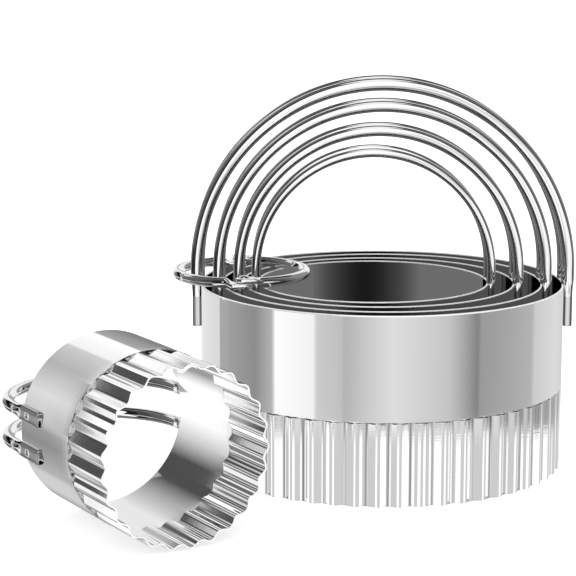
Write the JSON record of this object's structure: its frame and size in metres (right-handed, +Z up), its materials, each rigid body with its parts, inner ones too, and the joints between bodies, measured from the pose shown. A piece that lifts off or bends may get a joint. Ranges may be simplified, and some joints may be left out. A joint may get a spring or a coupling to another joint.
{
  "type": "nested fluted cutter set",
  "caption": "Set of fluted round dough cutters with double wire handles: most nested and tied by a hinged binder ring, the smallest lying on its side.",
  "frame": {"origin": "on the table under the middle of the whole set's bounding box", "axes": "+Z up from the table; +X along the set's long side, from the lying cutter towards the nest, parallel to the nest's handles; +Y from the viewer to the back"},
  "size_m": [0.1447, 0.1395, 0.1016],
  "materials": {
    "polished_sheet_steel": "polished",
    "polished_steel_wire": "polished",
    "binder_steel_wire": "polished",
    "rivet_steel": "satin"
  },
  "bodies": {
    "cutter_4": {"cutter_4_band": "polished_sheet_steel", "cutter_4_front_wire": "polished_steel_wire", "cutter_4_back_wire": "polished_steel_wire"},
    "cutter_3": {"cutter_3_band": "polished_sheet_steel", "cutter_3_front_wire": "polished_steel_wire", "cutter_3_back_wire": "polished_steel_wire"},
    "cutter_2": {"cutter_2_band": "polished_sheet_steel", "cutter_2_front_wire": "polished_steel_wire", "cutter_2_back_wire": "polished_steel_wire"},
    "cutter_1": {"cutter_1_band": "polished_sheet_steel", "cutter_1_front_wire": "polished_steel_wire", "cutter_1_back_wire": "polished_steel_wire"},
    "cutter_5": {"cutter_5_band": "polished_sheet_steel", "cutter_5_front_wire": "polished_steel_wire", "cutter_5_back_wire": "polished_steel_wire"},
    "binder_left": {"binder_left_half": "binder_steel_wire", "binder_rivet": "rivet_steel"},
    "binder_right": {"binder_right_half": "binder_steel_wire"}
  },
  "joints": [
    {"name": "lift_cutter_3", "type": "slide", "parent": "cutter_4", "child": "cutter_3", "axis": [0, 0, 1], "range_m": [0, 0.0055]},
    {"name": "lift_cutter_2", "type": "slide", "parent": "cutter_3", "child": "cutter_2", "axis": [0, 0, 1], "range_m": [0, 0.0055]},
    {"name": "lift_cutter_1", "type": "slide", "parent": "cutter_2", "child": "cutter_1", "axis": [0, 0, 1], "range_m": [0, 0.0055]},
    {"name": "lift_binder", "type": "slide", "parent": "cutter_1", "child": "binder_left", "axis": [0, 0, 1], "range_m": [0, 0.003]},
    {"name": "open_binder", "type": "hinge", "parent": "binder_left", "child": "binder_right", "pos_m": [-0.01354, 0.00675, 0.0501], "axis": [0, 0, -1], "range_deg": [0, 90]},
    {"name": "lift_cutter_5", "type": "slide", "parent": "cutter_4", "child": "cutter_5", "axis": [0, 0, 1], "range_m": [0, 0.1]}
  ]
}
